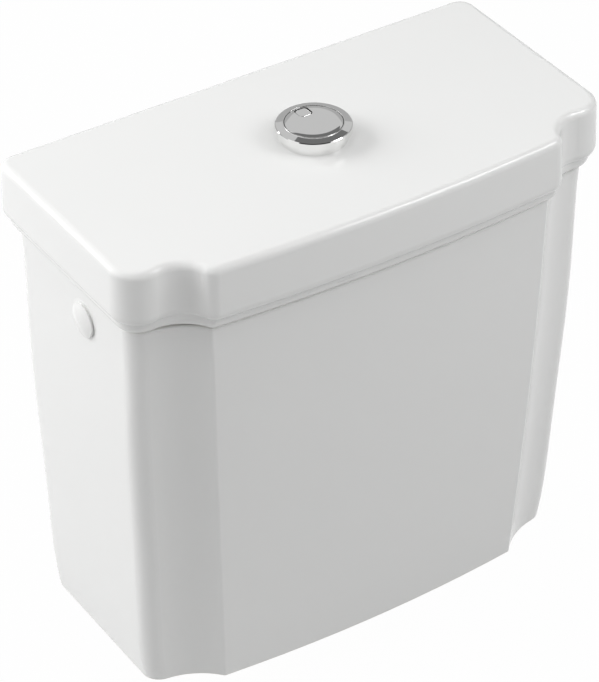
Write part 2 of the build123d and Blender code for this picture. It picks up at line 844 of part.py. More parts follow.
# Levers on one pin: the toe under the push rod, the tail under what it lifts
levers = (
    ("full_flush_lever", full_stem_place),
    ("half_flush_lever", half_button_place),
)
hub_limit = lever_side_gap + ear_thickness / 2
for name, place in levers:
    inner_side = 1 if place < ear_places[1] else -1
    hub_start = place - inner_side * lever_width / 2
    hub_end = ear_places[1] - inner_side * hub_limit
    with BuildPart() as lever:
        with BuildSketch(Plane.XZ.offset(-place)):
            with Locations((pivot_place + (lever_arm + lever_toe - lever_tail) / 2, pivot_height)):
                RectangleRounded(lever_tail + lever_arm + lever_toe, lever_thickness, lever_thickness / 4)
            with Locations((pivot_place, pivot_height)):
                Circle(lever_hub_radius)
        extrude(amount=lever_width / 2, both=True)
        with BuildSketch(Plane.XZ.offset(-hub_start)):
            with Locations((pivot_place, pivot_height)):
                Circle(lever_hub_radius)
        extrude(amount=hub_start - hub_end)
        with BuildSketch(Plane.XZ.offset(-hub_start)):
            with Locations((pivot_place, pivot_height)):
                Circle(lever_pin_radius + running_clearance)
        extrude(amount=hub_start - hub_end, mode=Mode.SUBTRACT)
    save(name, lever)

with BuildPart() as lever_pin:
    pin_start = ear_places[0] - ear_thickness / 2 - lever_pin_head
    pin_end = ear_places[2] + ear_thickness / 2 + lever_pin_head
    with BuildSketch(Plane.XZ.offset(-pin_start)):
        with Locations((pivot_place, pivot_height)):
            Circle(lever_pin_radius)
    extrude(amount=pin_start - pin_end)
    with BuildSketch(Plane.XZ.offset(-pin_start)):
        with Locations((pivot_place, pivot_height)):
            Circle(lever_hub_radius)
    extrude(amount=same_body_gap - lever_pin_head)
    chamfer(lever_pin.faces().sort_by(Axis.Y)[-1].edges(), edge_break)
save("lever_pin", lever_pin)

# Half-flush slide: a strip in two loops on the tower, hooked over the half-flush lever's tail
slide_outer_x = slide_inner_x - slide_thickness
with BuildPart() as half_flush_slide:
    with BuildSketch(Plane.XZ.offset(-half_button_place)):
        Polygon(
            (slide_outer_x, slide_bottom),
            (slide_inner_x, slide_bottom),
            (slide_inner_x, bar_bottom),
            (stirrup_outer, bar_bottom),
            (stirrup_outer, bar_bottom + stirrup_bar_height),
            (slide_outer_x, bar_bottom + stirrup_bar_height),
            align=None,
        )
    extrude(amount=lever_width / 2, both=True)
save("half_flush_slide", half_flush_slide)

# Pan bolts with rubber and metal washers inside the tank, and washers and lock nuts below it
cone_washer_top = tank_floor + cone_washer_thickness
head_seat = cone_washer_top + plate_washer_thickness
bolt_bore = bolt_shank_radius + bolt_gap
locknut_low = -plate_washer_thickness - locknut_height
with BuildPart() as pan_bolts:
    with BuildSketch(Plane.XY.offset(head_seat)):
        with Locations(*bolt_places):
            Circle(bolt_head_radius)
    extrude(amount=bolt_head_height)
    fillet(pan_bolts.faces().group_by(Axis.Z)[-1].edges(), bolt_head_height / 2)
    with BuildSketch(Plane.XY.offset(head_seat)):
        with Locations(*bolt_places):
            Circle(bolt_radius)
    extrude(amount=-bolt_length)
    chamfer(pan_bolts.faces().group_by(Axis.Z)[0].edges(), edge_break)
    with BuildSketch(Plane.XY.offset(head_seat)):
        with Locations(*bolt_places):
            Circle(bolt_shank_radius)
    extrude(amount=locknut_low - head_seat)
    with BuildSketch(Plane.XY.offset(head_seat + bolt_head_height)):
        with Locations(*bolt_places):
            Rectangle(2 * bolt_head_radius + overrun, bolt_slot_width)
    extrude(amount=-bolt_slot_depth, mode=Mode.SUBTRACT)
save("pan_bolts", pan_bolts)

with BuildPart() as bolt_cone_washers:
    for x, y in bolt_places:
        with BuildSketch(Plane.XY.offset(tank_floor)):
            with Locations((x, y)):
                Circle(cone_washer_radius)
                Circle(bolt_bore, mode=Mode.SUBTRACT)
        extrude(amount=cone_washer_thickness)
        with BuildSketch(Plane.XY.offset(tank_floor)):
            with Locations((x, y)):
                Circle(bolt_hole_radius - same_body_gap)
                Circle(bolt_bore, mode=Mode.SUBTRACT)
        extrude(amount=-cone_depth, taper=math.degrees(math.atan2(edge_break, cone_depth)))
save("bolt_cone_washers", bolt_cone_washers)

bolt_washers = (
    ("bolt_top_washers", cone_washer_top),
    ("bolt_bottom_washers", -plate_washer_thickness),
)
for name, height in bolt_washers:
    with BuildPart() as plate_washers:
        with BuildSketch(Plane.XY.offset(height)):
            with Locations(*bolt_places):
                Circle(plate_washer_radius)
                Circle(bolt_bore, mode=Mode.SUBTRACT)
        extrude(amount=plate_washer_thickness)
    save(name, plate_washers)

with BuildPart() as bolt_locknuts:
    with BuildSketch(Plane.XY.offset(-plate_washer_thickness)):
        with Locations(*bolt_places):
            RegularPolygon(locknut_flats / 2, 6, major_radius=False)
            Circle(bolt_shank_radius + running_clearance, mode=Mode.SUBTRACT)
    extrude(amount=-locknut_height)
save("bolt_locknuts", bolt_locknuts)

# Fill valve places along its own axis, from the wall towards the middle of the tank
flange_face = side_inner_face - shank_gasket_thickness
barrel_start = flange_face - valve_flange_disc_thickness
head_start = barrel_start - barrel_length
head_end = head_start - head_length
cap_end = head_end - cap_length
spigot_place = head_end + spigot_edge_gap + spigot_radius
with BuildPart() as fill_valve_body:
    ring(side_plane, shank_radius, flange_face, side_face + shank_reach)
    chamfer(fill_valve_body.faces().sort_by(Axis.X)[-1].edges(), edge_break)
    groove_start = side_face + shank_washer_thickness + shank_nut_height
    ring(
        side_plane,
        shank_radius + overrun,
        groove_start,
        groove_start + shank_groove_width,
        bore=shank_radius - shank_groove_depth,
        mode=Mode.SUBTRACT,
    )
    ring(side_plane, valve_flange_disc_radius, barrel_start, flange_face)
    ring(side_plane, barrel_radius, head_start, barrel_start)
    ring(side_plane, head_radius, head_end, head_start)
    with BuildSketch(Plane.XY.offset(side_hole_height)):
        with Locations((spigot_place, 0)):
            Circle(spigot_radius)
    extrude(amount=-head_radius - spigot_length)
    ring(side_plane, chamber_radius, head_end, head_end + chamber_depth, mode=Mode.SUBTRACT)
    ring(side_plane, nozzle_radius, head_end + chamber_depth - nozzle_height, head_end + chamber_depth)
    ring(side_plane, shank_bore_radius, head_start, side_face + shank_reach, mode=Mode.SUBTRACT)
    ring(side_plane, nozzle_bore_radius, head_end, head_start, mode=Mode.SUBTRACT)
    with BuildSketch(Plane.XY.offset(side_hole_height - nozzle_radius - spigot_bore_drop)):
        with Locations((spigot_place, 0)):
            Circle(spigot_bore_radius)
    extrude(amount=-head_radius - spigot_length, mode=Mode.SUBTRACT)
save("fill_valve_body", fill_valve_body)

with BuildPart() as shank_gasket:
    ring(side_plane, shank_washer_radius, flange_face, side_inner_face, bore=shank_radius + same_body_gap)
save("shank_gasket", shank_gasket)

with BuildPart() as shank_washer:
    ring(
        side_plane,
        shank_washer_radius,
        side_face,
        side_face + shank_washer_thickness,
        bore=shank_radius + same_body_gap,
    )
save("shank_washer", shank_washer)

with BuildPart() as shank_backnut:
    backnut_face = side_face + shank_washer_thickness
    hex_nut(
        side_plane,
        shank_nut_flats,
        shank_radius + running_clearance,
        backnut_face,
        backnut_face + shank_nut_height,
    )
save("shank_backnut", shank_backnut)

with BuildPart() as inlet_filter:
    filter_mouth = side_face + shank_reach
    ring(side_plane, filter_radius, filter_mouth - filter_length, filter_mouth)
    ring(side_plane, filter_flange_radius, filter_mouth, filter_mouth + filter_flange_thickness)
    ring(
        side_plane,
        filter_radius - filter_wall,
        filter_mouth - filter_length + filter_wall,
        filter_mouth + filter_flange_thickness,
        mode=Mode.SUBTRACT,
    )
save("inlet_filter", inlet_filter)

with BuildPart() as diaphragm:
    diaphragm_face = head_end + same_body_gap
    ring(side_plane, diaphragm_radius, diaphragm_face, diaphragm_face + diaphragm_thickness)
save("diaphragm", diaphragm)

# Cap of the fill valve: a ribbed nut with a guide for the plunger and two ears for the arm
arm_pivot_x = cap_end - arm_pivot_reach
arm_pivot_z = side_hole_height - arm_pivot_drop
with BuildPart() as valve_cap:
    with BuildSketch(side_plane.offset(cap_end)):
        Circle(cap_radius)
        with PolarLocations(cap_radius, cap_ribs):
            Circle(cap_rib_radius)
    extrude(amount=cap_length)
    ring(side_plane, cap_cavity_radius, cap_end + cap_front, head_end, mode=Mode.SUBTRACT)
    for side in (-1, 1):
        with BuildSketch(Plane.XZ.offset(side * cap_ear_spread)):
            with Locations((arm_pivot_x + (cap_ear_reach - arm_hub_radius) / 2 + edge_break, arm_pivot_z)):
                Rectangle(cap_ear_reach, 2 * arm_hub_radius)
        extrude(amount=side * cap_ear_thickness)
    with BuildSketch(Plane.XZ.offset(cap_ear_spread + cap_ear_thickness)):
        with Locations((arm_pivot_x, arm_pivot_z)):
            Circle(arm_pin_radius + running_clearance)
    extrude(amount=-2 * (cap_ear_spread + cap_ear_thickness), mode=Mode.SUBTRACT)
    ring(side_plane, plunger_radius + running_clearance, cap_end, cap_end + cap_front, mode=Mode.SUBTRACT)
save("valve_cap", valve_cap)

with BuildPart() as plunger:
    ring(side_plane, plunger_radius, cap_end - plunger_reach, cap_end - plunger_reach + plunger_length)
save("plunger", plunger)

with BuildPart() as arm_pivot_pin:
    pin_reach = cap_ear_spread + cap_ear_thickness + edge_break
    with BuildSketch(Plane.XZ.offset(-pin_reach)):
        with Locations((arm_pivot_x, arm_pivot_z)):
            Circle(arm_pin_radius)
    extrude(amount=2 * pin_reach)
save("arm_pivot_pin", arm_pivot_pin)

# Float arm, in a frame that turns down with the empty cistern: its +X runs along the arm to the float
arm_angle = math.radians(arm_rest_angle)
arm_plane = Plane(
    origin=(arm_pivot_x, 0, arm_pivot_z),
    x_dir=(-math.cos(arm_angle), 0, -math.sin(arm_angle)),
    z_dir=(0, 1, 0),
)
screw_plane = Plane(
    origin=(
        arm_pivot_x - arm_length * math.cos(arm_angle),
        0,
        arm_pivot_z - arm_length * math.sin(arm_angle),
    ),
    x_dir=(math.cos(arm_angle), 0, math.sin(arm_angle)),
    z_dir=(-math.sin(arm_angle), 0, math.cos(arm_angle)),
)
plunger_end = cap_end - plunger_reach
with BuildPart() as float_arm:
    with BuildSketch(arm_plane):
        Circle(arm_hub_radius)
    extrude(amount=arm_hub_width / 2, both=True)
    with BuildSketch(arm_plane):
        with Locations((arm_length / 2, 0)):
            Rectangle(arm_length, arm_thickness)
    extrude(amount=arm_width / 2, both=True)
    with BuildSketch(screw_plane.offset(-arm_thickness / 2)):
        Circle(arm_eye_radius)
    extrude(amount=arm_thickness)
    nose_top = side_hole_height + nose_above_axis
    nose_centre = (plunger_end - nose_gap - nose_thickness / 2, (arm_pivot_z + nose_top) / 2)
    with BuildSketch(Plane.XZ):
        with Locations(nose_centre):
            Rectangle(nose_thickness, nose_top - arm_pivot_z)
    extrude(amount=nose_width / 2, both=True)
    with BuildSketch(arm_plane.offset(-arm_hub_width / 2)):
        Circle(arm_pin_radius + running_clearance)
    extrude(amount=arm_hub_width, mode=Mode.SUBTRACT)
    with BuildSketch(screw_plane.offset(-arm_thickness / 2)):
        Circle(screw_radius + running_clearance)
    extrude(amount=arm_thickness, mode=Mode.SUBTRACT)
save("float_arm", float_arm)

with BuildPart() as level_screw:
    with BuildSketch(screw_plane.offset(screw_above_arm - screw_length)):
        Circle(screw_radius)
    extrude(amount=screw_length)
    with BuildSketch(screw_plane.offset(screw_above_arm)):
        RegularPolygon(screw_head_radius, 6)
    extrude(amount=screw_head_height)
save("level_screw", level_screw)

float_top = float_height / 2 - float_drop
float_axis = Axis(screw_plane.origin, screw_plane.z_dir)
with BuildPart() as fill_float:
    with BuildSketch(screw_plane.offset(float_top - float_height)):
        RectangleRounded(float_length, float_width, float_edge_radius)
    extrude(amount=float_height)
    fillet(fill_float.faces().sort_by(float_axis)[-1].edges(), float_edge_radius / 4)
    with BuildSketch(screw_plane.offset(float_top)):
        Circle(screw_radius + running_clearance)
    extrude(amount=-float_socket_depth, mode=Mode.SUBTRACT)
save("fill_float", fill_float)

with BuildPart() as fill_tube:
    spigot_bottom = side_hole_height - head_radius - spigot_length
    fill_tube_bottom = tank_floor + fill_tube_floor_gap
    with BuildSketch(Plane.XY.offset(fill_tube_bottom)):
        with Locations((spigot_place, 0)):
            Circle(fill_tube_radius)
            Circle(spigot_radius + running_clearance, mode=Mode.SUBTRACT)
    extrude(amount=spigot_bottom + fill_tube_overlap - fill_tube_bottom)
save("fill_tube", fill_tube)
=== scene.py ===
# %% [markdown]
# A ceramic toilet cistern is mostly one material, so this lesson is about three things: a glaze
# that looks like glaze and not like paint, a chrome button that has something to reflect, and soft
# studio light. The solids come ready made and are never moved. Blender adds finishes, coils,
# threads, light and a camera.

import json
import math

import bpy
from mathutils import Matrix, Vector


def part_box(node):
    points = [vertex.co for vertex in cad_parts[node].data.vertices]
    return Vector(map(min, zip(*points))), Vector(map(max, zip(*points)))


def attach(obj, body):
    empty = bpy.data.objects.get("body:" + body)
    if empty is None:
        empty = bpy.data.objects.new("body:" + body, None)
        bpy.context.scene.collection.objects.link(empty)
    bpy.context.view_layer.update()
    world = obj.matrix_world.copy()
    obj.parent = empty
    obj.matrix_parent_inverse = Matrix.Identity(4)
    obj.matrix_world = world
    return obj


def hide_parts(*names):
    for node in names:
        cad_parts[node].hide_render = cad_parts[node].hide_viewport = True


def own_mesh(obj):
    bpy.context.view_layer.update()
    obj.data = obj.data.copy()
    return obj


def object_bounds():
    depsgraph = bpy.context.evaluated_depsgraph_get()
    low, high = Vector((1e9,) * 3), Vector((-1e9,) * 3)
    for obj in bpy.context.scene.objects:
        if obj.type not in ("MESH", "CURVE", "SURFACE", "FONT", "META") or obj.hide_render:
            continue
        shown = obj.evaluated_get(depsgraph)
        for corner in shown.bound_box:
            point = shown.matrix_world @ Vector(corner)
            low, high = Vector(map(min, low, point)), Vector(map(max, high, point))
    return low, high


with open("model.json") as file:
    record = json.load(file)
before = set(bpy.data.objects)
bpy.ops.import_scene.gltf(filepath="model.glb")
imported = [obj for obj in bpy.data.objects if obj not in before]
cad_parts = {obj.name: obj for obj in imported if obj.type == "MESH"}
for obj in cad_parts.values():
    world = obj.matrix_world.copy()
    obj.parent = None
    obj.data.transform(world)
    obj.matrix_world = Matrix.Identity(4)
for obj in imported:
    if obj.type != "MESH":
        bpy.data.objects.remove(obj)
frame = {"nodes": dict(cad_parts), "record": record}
solid_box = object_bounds()
scene = bpy.context.scene
MM = 0.001
upright = (0, 0, 1)

# %% [markdown]
# The camera and the lamps are easier to place with angles than with matrices. An azimuth of nought
# looks at the front, and the elevation is counted up from the floor. Two helpers turn such angles
# into a direction and into a rotation. The lamps need both again, and the mirror cards need the
# first.


# %% Directions
def pointing(azimuth, elevation):
    """The direction from the object towards something seen at these two angles, in degrees."""
    a, e = math.radians(azimuth), math.radians(elevation)
    return Vector((math.sin(a) * math.cos(e), -math.cos(a) * math.cos(e), math.sin(e)))


def facing(back, roll=0.0):
    """A rotation that looks along the opposite of back, turned about that line by roll degrees."""
    right = Vector(upright).cross(back).normalized()
    up = back.cross(right)
    r = math.radians(roll)
    turned_right = right * math.cos(r) + up * math.sin(r)
    turned_up = up * math.cos(r) - right * math.sin(r)
    return Matrix((turned_right, turned_up, back)).transposed().to_4x4()


print("front is", [round(x, 3) for x in pointing(0, 0)])

# %% [markdown]
# The photograph was taken from the front left and from above, with a long lens. A long lens keeps
# the upright edges nearly parallel, as in a catalogue. The camera is set by its place, two angles
# and a slight roll, which is easier to read and to correct than a rotation matrix.

# %% Camera
camera_place = Vector((-1058.1, -1636.2, 1647.1)) * MM
camera_azimuth = -32.60
camera_elevation = 36.46
camera_roll = -0.609
camera_lens = 176.84
camera_sensor = 36.0
camera_shift = (-0.00336, -0.0005)
camera_reach = 20.0

camera_data = bpy.data.cameras.new("photo_camera")
camera_data.lens = camera_lens
camera_data.sensor_width = camera_sensor
camera_data.shift_x, camera_data.shift_y = camera_shift
camera_data.clip_end = camera_reach
camera = bpy.data.objects.new("photo_camera", camera_data)
camera_turn = facing(pointing(camera_azimuth, camera_elevation), camera_roll)
camera.matrix_world = Matrix.Translation(camera_place) @ camera_turn
scene.collection.objects.link(camera)
scene.camera = camera
print("camera looks from", [round(x, 3) for x in camera_place])

# %% [markdown]
# Finishes are node graphs, and a graph of arithmetic is hard to read as a list of links. So a wire
# out of a node is wrapped in a small class with Python's operators: `1 - mask` or
# `0.2 * grain + 0.1` adds the Math nodes itself. A comparison gives one or nought, and `|` takes
# the larger of two wires, which joins two masks.


# %% Wires
class Wire:
    """What comes out of a node, usable in Python arithmetic when it is a number."""

    def __init__(self, graph, socket):
        self.graph = graph
        self.socket = socket

    def _math(self, operation, first, second):
        return self.graph.node("Math", {"operation": operation}, {0: first, 1: second})

    def __add__(self, other):
        return self._math("ADD", self, other)

    __radd__ = __add__

    def __sub__(self, other):
        return self._math("SUBTRACT", self, other)

    def __rsub__(self, other):
        return self._math("SUBTRACT", other, self)

    def __mul__(self, other):
        return self._math("MULTIPLY", self, other)

    __rmul__ = __mul__

    def __lt__(self, other):
        return self._math("LESS_THAN", self, other)

    def __gt__(self, other):
        return self._math("GREATER_THAN", self, other)

    def __or__(self, other):
        return self._math("MAXIMUM", self, other)

    __ror__ = __or__


print("a wire takes + - * < > and |")

# %% [markdown]
# Every node that isn't arithmetic comes from one method, which sets its settings first and then its
# sockets. On top of it stand a few short methods for what this object needs often: a place, a
# height, a noise of a given size, a mix of two colours and a bump.


# %% Graphs
class Graph:
    """The node tree of a material or of the world."""

    def __init__(self, owner):
        owner.use_nodes = True
        self.tree = owner.node_tree
        self.tree.nodes.clear()

    def node(self, kind, settings=None, sockets=None, output=0):
        """Adds a node: its kind, its settings, and the values or wires of its sockets."""
        made = self.tree.nodes.new("ShaderNode" + kind)
        for setting, value in (settings or {}).items():
            setattr(made, setting, value)
        for name, value in (sockets or {}).items():
            self.feed(made.inputs[name], value)
        return Wire(self, made.outputs[output]) if made.outputs else made

    def feed(self, socket, value):
        """Joins a wire to a socket, or sets the socket's value."""
        if isinstance(value, Wire):
            self.tree.links.new(value.socket, socket)
        elif isinstance(value, tuple) and len(value) == 3 and len(socket.default_value) == 4:
            socket.default_value = (*value, 1)
        else:
            socket.default_value = value

    def place(self):
        """Where a point lies on the object, in metres."""
        return self.node("TexCoord", output="Object")

    def height(self):
        """How high a point lies on the object, in metres."""
        return self.node("SeparateXYZ", {}, {"Vector": self.place()}, output="Z")

    def noise(self, size, detail=2.0, stretch=None):
        """Cloudy noise whose features are about size metres across, stretched by three factors."""
        where = self.place()
        if stretch:
            where = self.node("Mapping", {}, {"Vector": where, "Scale": stretch})
        return self.node("TexNoise", {}, {"Vector": where, "Scale": 1 / size, "Detail": detail})

    def colours(self, factor, first, second):
        """The first colour where the factor is 0, the second where it is 1."""
        mix = {"data_type": "RGBA"}
        return self.node("Mix", mix, {0: factor, 6: first, 7: second}, output=2)

    def bump(self, height, depth, strength=1.0):
        """Raises the surface by a height from 0 to 1 times depth metres."""
        return self.node("Bump", {}, {"Height": height, "Distance": depth, "Strength": strength})

    def looked_at(self):
        """One for rays from the camera, a mirror or glass, and nought for rays that carry light."""
        camera_ray = self.node("LightPath", output="Is Camera Ray")
        mirror_ray = self.node("LightPath", output="Is Glossy Ray")
        glass_ray = self.node("LightPath", output="Is Transmission Ray")
        return camera_ray | mirror_ray | glass_ray


print("graphs can make", [name for name in vars(Graph) if not name.startswith("_")])

# %% [markdown]
# A finish is a graph with one main shader. Its constants are given when it is made, and what varies
# over the surface is joined later by the socket's name. This keeps each finish below to a few
# lines.


# %% Finishes
class Finish(Graph):
    """A material with one main shader. What varies over the surface is joined to it by name."""

    def __init__(self, name, **fixed):
        self.material = bpy.data.materials.new(name)
        super().__init__(self.material)
        self.shader = self.node("BsdfPrincipled")
        self.node("OutputMaterial", {}, {"Surface": self.shader})
        self.set(**fixed)

    def set(self, **values):
        """Sets or joins sockets of the main shader, named as in Blender with _ for a space."""
        for name, value in values.items():
            self.feed(self.shader.socket.node.inputs[name.replace("_", " ")], value)


def darker(colour, share):
    """A colour at a share of its brightness."""
    return tuple(channel * share for channel in colour)


print("half of white is", darker((1.0, 1.0, 1.0), 0.5))

# %% [markdown]
# Sanitary glaze is a thick white glass over clay. It isn't perfectly even: it lies thinner on sharp
# edges, and its surface has a very shallow waviness, which breaks long reflections a little. The
# faces that stood on the kiln shelf have no glaze: the tank's foot and the lid's lowest edge are
# duller and creamier. One material holds both, chosen by height, because a real piece has both in
# one body.

# %% Glazed ceramic
glaze_white = (0.868, 0.870, 0.862)
glaze_shade = (0.850, 0.853, 0.845)
bare_clay = (0.74, 0.71, 0.65)
bare_band = 0.4 * MM
glaze_relief = 0.12 * MM
lid_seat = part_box("lid_buffers")[1].z
ceramic = Finish("glazed_ceramic", IOR=1.5)
ceramic_height = ceramic.height()


def level(height):
    """One where the ceramic lies at this height, and nought elsewhere."""
    return (ceramic_height > height - bare_band) * (ceramic_height < height + bare_band)


bare = level(0) | level(lid_seat)
glaze_cloud = ceramic.noise(120 * MM)
glaze_wave = ceramic.noise(35 * MM, detail=1.0)
clay_grain = ceramic.noise(0.8 * MM, detail=4.0)
ceramic_relief = glaze_wave * (1 - bare) + clay_grain * bare
glaze = ceramic.colours(glaze_cloud, glaze_shade, glaze_white)
ceramic.set(
    Base_Color=ceramic.colours(bare, glaze, bare_clay),
    Roughness=0.16 + 0.05 * glaze_cloud + 0.55 * bare,
    Normal=ceramic.bump(ceramic_relief, glaze_relief, 0.5),
)
print("unglazed faces at heights 0 and", round(lid_seat / MM, 1), "mm")

# %% [markdown]
# Bright chrome reflects most of the light, with hardly any colour of its own. What makes it look
# like metal is what it reflects, so its own surface stays nearly plain: only a fine polish haze in
# the roughness.

# %% Chrome
chrome = Finish("polished_chrome", Base_Color=(0.86, 0.86, 0.855), Metallic=1.0)
polish_haze = chrome.noise(2.5 * MM, detail=3.0)
chrome.set(Roughness=0.02 + 0.04 * polish_haze)
print("finish:", chrome.material.name)

# %% [markdown]
# The fittings inside are moulded plastic. A moulded surface has the mould's own fine texture, far
# too small to see as bumps but enough to soften a highlight, and slow changes of shade where the
# plastic is thicker. One function makes all of them, because only the colour and the gloss differ.

# %% Moulded plastics
plastic_cloud_size = 18 * MM
mould_texture_size = 0.35 * MM
plastic_shade_share = 0.93


def plastic(name, colour, roughness, texture=0.03):
    """A moulded plastic: colour, gloss and the depth of the mould's texture in millimetres."""
    made = Finish(name, IOR=1.46)
    cloud = made.noise(plastic_cloud_size)
    mould = made.noise(mould_texture_size, detail=3.0)
    made.set(
        Base_Color=made.colours(cloud, darker(colour, plastic_shade_share), colour),
        Roughness=roughness + 0.08 * mould,
        Normal=made.bump(mould, texture * MM, 0.4),
    )
    return made


white_plastic = plastic("white_plastic", (0.80, 0.80, 0.78), 0.30)
plug_plastic = plastic("plug_plastic", (0.868, 0.870, 0.862), 0.16, texture=0.01)
pale_plastic = plastic("pale_plastic", (0.56, 0.60, 0.61), 0.34)
grey_plastic = plastic("grey_plastic", (0.17, 0.18, 0.19), 0.38, texture=0.06)
blue_plastic = plastic("blue_plastic", (0.015, 0.09, 0.33), 0.28)
green_plastic = plastic("green_plastic", (0.02, 0.22, 0.08), 0.28)
print("last plastic:", green_plastic.material.name)

# %% [markdown]
# Rubber is lighter where its skin is worn than in the grain of the skin, and it has a broad, dull
# shine. The seals, washers and lid buffers differ in colour and gloss alone, so one function makes
# them too.

# %% Rubbers
skin_relief = 0.05 * MM
worn_gain = 1.5
worn_haze = 0.004


def rubber(name, colour, roughness, grain=0.25):
    """A moulded rubber with a fine dull skin. grain is the size of the skin's grain in millimetres."""
    made = Finish(name, IOR=1.5)
    skin = made.noise(grain * MM, detail=4.0)
    worn = tuple(channel * worn_gain + worn_haze for channel in colour)
    made.set(
        Base_Color=made.colours(skin, colour, worn),
        Roughness=roughness + 0.12 * skin,
        Normal=made.bump(skin, skin_relief, 0.6),
    )
    return made


black_rubber = rubber("black_rubber", (0.012, 0.012, 0.013), 0.50)
red_rubber = rubber("red_rubber", (0.26, 0.030, 0.018), 0.42)
clear_rubber = rubber("clear_rubber", (0.46, 0.46, 0.43), 0.35)
print("last rubber:", clear_rubber.material.name)

# %% [markdown]
# The thick gasket under the tank is foam rubber. A noise would look like rough paint, so it gets real
# pores from a cell pattern, with each cell's edge high and its middle low. The middle of each pore is
# also painted darker: that is painted shade in its hollow, not a colour of the rubber.

# %% Sponge rubber
pore_size = 1.6 * MM
pore_depth = 0.5 * MM
sponge_skin = (0.030, 0.030, 0.032)
sponge_pore_shade = (0.006, 0.006, 0.006)
sponge = Finish("sponge_rubber", IOR=1.45)
cells = {"Vector": sponge.place(), "Scale": 1 / pore_size}
pores = sponge.node("TexVoronoi", {"feature": "DISTANCE_TO_EDGE"}, cells)
pore_walls = 1 - pores
sponge.set(
    # The pores' middles take the darker colour, which is painted shade in their hollows.
    Base_Color=sponge.colours(pores, sponge_skin, sponge_pore_shade),
    Roughness=0.75 + 0.15 * pore_walls,
    Normal=sponge.bump(pore_walls, pore_depth, 0.9),
)
print("pores are", round(pore_size / MM, 1), "mm across")

# %% [markdown]
# Drawn wire, washers and turned brass carry fine lines from the tool. Noise squeezed along one axis
# gives such lines without any picture: stretched widely across the height, it makes the rings of a
# turned part.

# %% Metals inside
tool_stretch = (0.02, 0.02, 1.0)
tarnish_size = 6 * MM
tarnish_share = 0.82
tool_relief = 0.02 * MM


def turned_metal(name, colour, roughness, line=0.18):
    """A turned or drawn metal with fine rings along its height. line is their width in millimetres."""
    made = Finish(name, Metallic=1.0)
    rings = made.noise(line * MM, detail=2.0, stretch=tool_stretch)
    tarnish = made.noise(tarnish_size)
    made.set(
        Base_Color=made.colours(tarnish, darker(colour, tarnish_share), colour),
        Roughness=roughness + 0.14 * rings,
        Normal=made.bump(rings, tool_relief, 0.4),
    )
    return made


steel = turned_metal("bright_steel", (0.60, 0.60, 0.61), 0.24)
brass = turned_metal("turned_brass", (0.62, 0.43, 0.16), 0.26)
print("metals:", steel.material.name, brass.material.name)

# %% [markdown]
# Each solid says in the record which finish it takes, so giving out the finishes is one loop. The
# pieces that are made here later also need a body that they ride on, and one helper does both for
# them.

# %% Give each solid its finish
finishes = {
    "ceramic": ceramic,
    "chrome": chrome,
    "plug_plastic": plug_plastic,
    "white_plastic": white_plastic,
    "pale_plastic": pale_plastic,
    "grey_plastic": grey_plastic,
    "blue_plastic": blue_plastic,
    "green_plastic": green_plastic,
    "black_rubber": black_rubber,
    "sponge_rubber": sponge,
    "clear_rubber": clear_rubber,
    "red_rubber": red_rubber,
    "steel": steel,
    "brass": brass,
}


def dress(piece, slot):
    """Gives a piece its finish and nothing else."""
    piece.data.materials.clear()
    piece.data.materials.append(finishes[slot].material)


def fix(piece, slot, body):
    """Gives a new piece its finish and lets it ride on its body."""
    dress(piece, slot)
    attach(piece, body)


for subpart in frame["record"]["subparts"]:
    dress(frame["nodes"][subpart["node"]], subpart["material_slot"])
print("finishes given out:", len(finishes))

# %% [markdown]
# Springs and screw threads are the same shape to a modeller: a small profile wound round an axis.
# So one function winds both. It is given the profile as points (outwards, along) and a function
# that says how far along the axis the winding is after a number of turns. A sweep by hand keeps the
# mesh clean and closed, with no curve left over.


# %% Winding
def new_piece(name, corners, faces):
    """A new piece from corners and faces."""
    mesh = bpy.data.meshes.new(name)
    mesh.from_pydata(corners, [], faces)
    mesh.update()
    made = bpy.data.objects.new(name, mesh)
    scene.collection.objects.link(made)
    return made


def circle_angles(count):
    """The angles of count points spread evenly round a circle."""
    return [2 * math.pi * k / count for k in range(count)]


def wound(name, centre, axis, profile, radius, turns, climb, steps, thin_ends=0.0):
    """A closed tube of one profile wound round an axis, tapered over thin_ends turns at each end."""
    turn_to_axis = Vector(upright).rotation_difference(Vector(axis)).to_matrix().to_4x4()
    count = int(turns * steps)
    corners, faces = [], []
    for index in range(count + 1):
        turn = turns * index / count
        angle = 2 * math.pi * turn
        share = min(1.0, turn / thin_ends, (turns - turn) / thin_ends) if thin_ends else 1.0
        for outwards, along in profile:
            reach = radius + (outwards * share if outwards > 0 else outwards)
            corners.append((reach * math.cos(angle), reach * math.sin(angle), climb(turn) + along))
    size = len(profile)
    for ring in range(count):
        for side in range(size):
            a, b = ring * size + side, ring * size + (side + 1) % size
            faces.append((a, b, b + size, a + size))
    faces.append(tuple(reversed(range(size))))
    faces.append(tuple(count * size + side for side in range(size)))
    piece = new_piece(name, corners, faces)
    piece.data.transform(Matrix.Translation(centre) @ turn_to_axis)
    piece.data.update()
    return piece


print("a circle of four:", [round(a, 2) for a in circle_angles(4)])

# %% [markdown]
# A compression spring's first and last turns lie flat against their neighbours, and the turns
# between them are evenly spread. It fills exactly the sleeve that its solid is.

# %% Return springs
spring_wire = 0.8 * MM
spring_sides = 10
spring_steps = 30
dead_turns = 1.25


